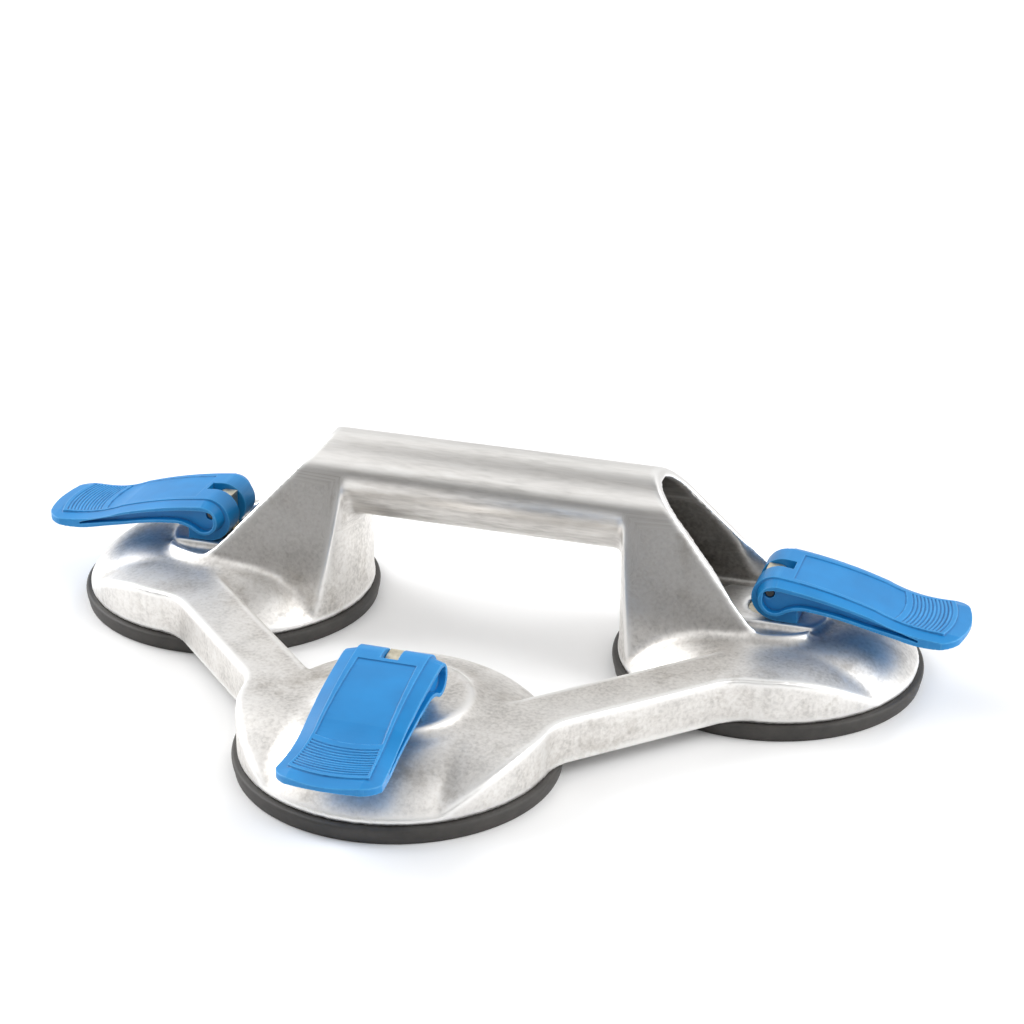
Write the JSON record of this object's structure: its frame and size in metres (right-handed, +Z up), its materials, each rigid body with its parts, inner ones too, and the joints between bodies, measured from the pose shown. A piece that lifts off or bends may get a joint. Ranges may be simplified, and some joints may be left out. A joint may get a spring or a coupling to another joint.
{
  "type": "floor tile suction lifter",
  "caption": "Cast-metal lifter on round rubber suction cups set in a triangle, with a tubular handle and a cam lever on each cup that draws its pad up to hold a smooth floor tile.",
  "frame": {"origin": "on the floor, under the middle of the whole object's box", "axes": "+X along the handle, -Y towards the single front cup, +Z up"},
  "size_m": [0.376, 0.248, 0.077],
  "materials": {
    "cast_aluminium": "tumbled die casting, satin",
    "rubber": "matte moulded",
    "zinc_steel": "zinc plated",
    "passivated_steel": "yellow-passivated zinc plate",
    "pin_steel": "ground steel",
    "lever_plastic": "semi-gloss moulded"
  },
  "bodies": {
    "frame": {"cast_body": "cast_aluminium", "left_suction_pad": "rubber", "right_suction_pad": "rubber", "front_suction_pad": "rubber"},
    "left_lift": {"left_backing_plate": "zinc_steel", "left_drawbar": "passivated_steel", "left_hinge_pin": "pin_steel"},
    "left_lever_arm": {"left_lever": "lever_plastic"},
    "right_lift": {"right_backing_plate": "zinc_steel", "right_drawbar": "passivated_steel", "right_hinge_pin": "pin_steel"},
    "right_lever_arm": {"right_lever": "lever_plastic"},
    "front_lift": {"front_backing_plate": "zinc_steel", "front_drawbar": "passivated_steel", "front_hinge_pin": "pin_steel"},
    "front_lever_arm": {"front_lever": "lever_plastic"}
  },
  "joints": [
    {"name": "left_drawbar_slide", "type": "slide", "parent": "frame", "child": "left_lift", "axis": [0, 0, 1], "range_m": [-0.005, 0], "deforming": ["left_suction_pad"]},
    {"name": "left_lever_hinge", "type": "hinge", "parent": "left_lift", "child": "left_lever_arm", "pos_m": [-0.1138, 0.06405, 0.0394], "axis": [0, 1, 0], "range_deg": [0, 90]},
    {"name": "right_drawbar_slide", "type": "slide", "parent": "frame", "child": "right_lift", "axis": [0, 0, 1], "range_m": [-0.005, 0], "deforming": ["right_suction_pad"]},
    {"name": "right_lever_hinge", "type": "hinge", "parent": "right_lift", "child": "right_lever_arm", "pos_m": [0.1138, 0.06405, 0.0394], "axis": [0, -1, 0], "range_deg": [0, 90]},
    {"name": "front_drawbar_slide", "type": "slide", "parent": "frame", "child": "front_lift", "axis": [0, 0, 1], "range_m": [-0.005, 0], "deforming": ["front_suction_pad"]},
    {"name": "front_lever_hinge", "type": "hinge", "parent": "front_lift", "child": "front_lever_arm", "pos_m": [0, -0.04975, 0.0394], "axis": [-1, 0, 0], "range_deg": [0, 90]}
  ],
  "couplings": [
    {"joint": "left_drawbar_slide", "follows": "left_lever_hinge", "m_per_rad": -0.0031831},
    {"joint": "right_drawbar_slide", "follows": "right_lever_hinge", "m_per_rad": -0.0031831},
    {"joint": "front_drawbar_slide", "follows": "front_lever_hinge", "m_per_rad": -0.0031831}
  ]
}
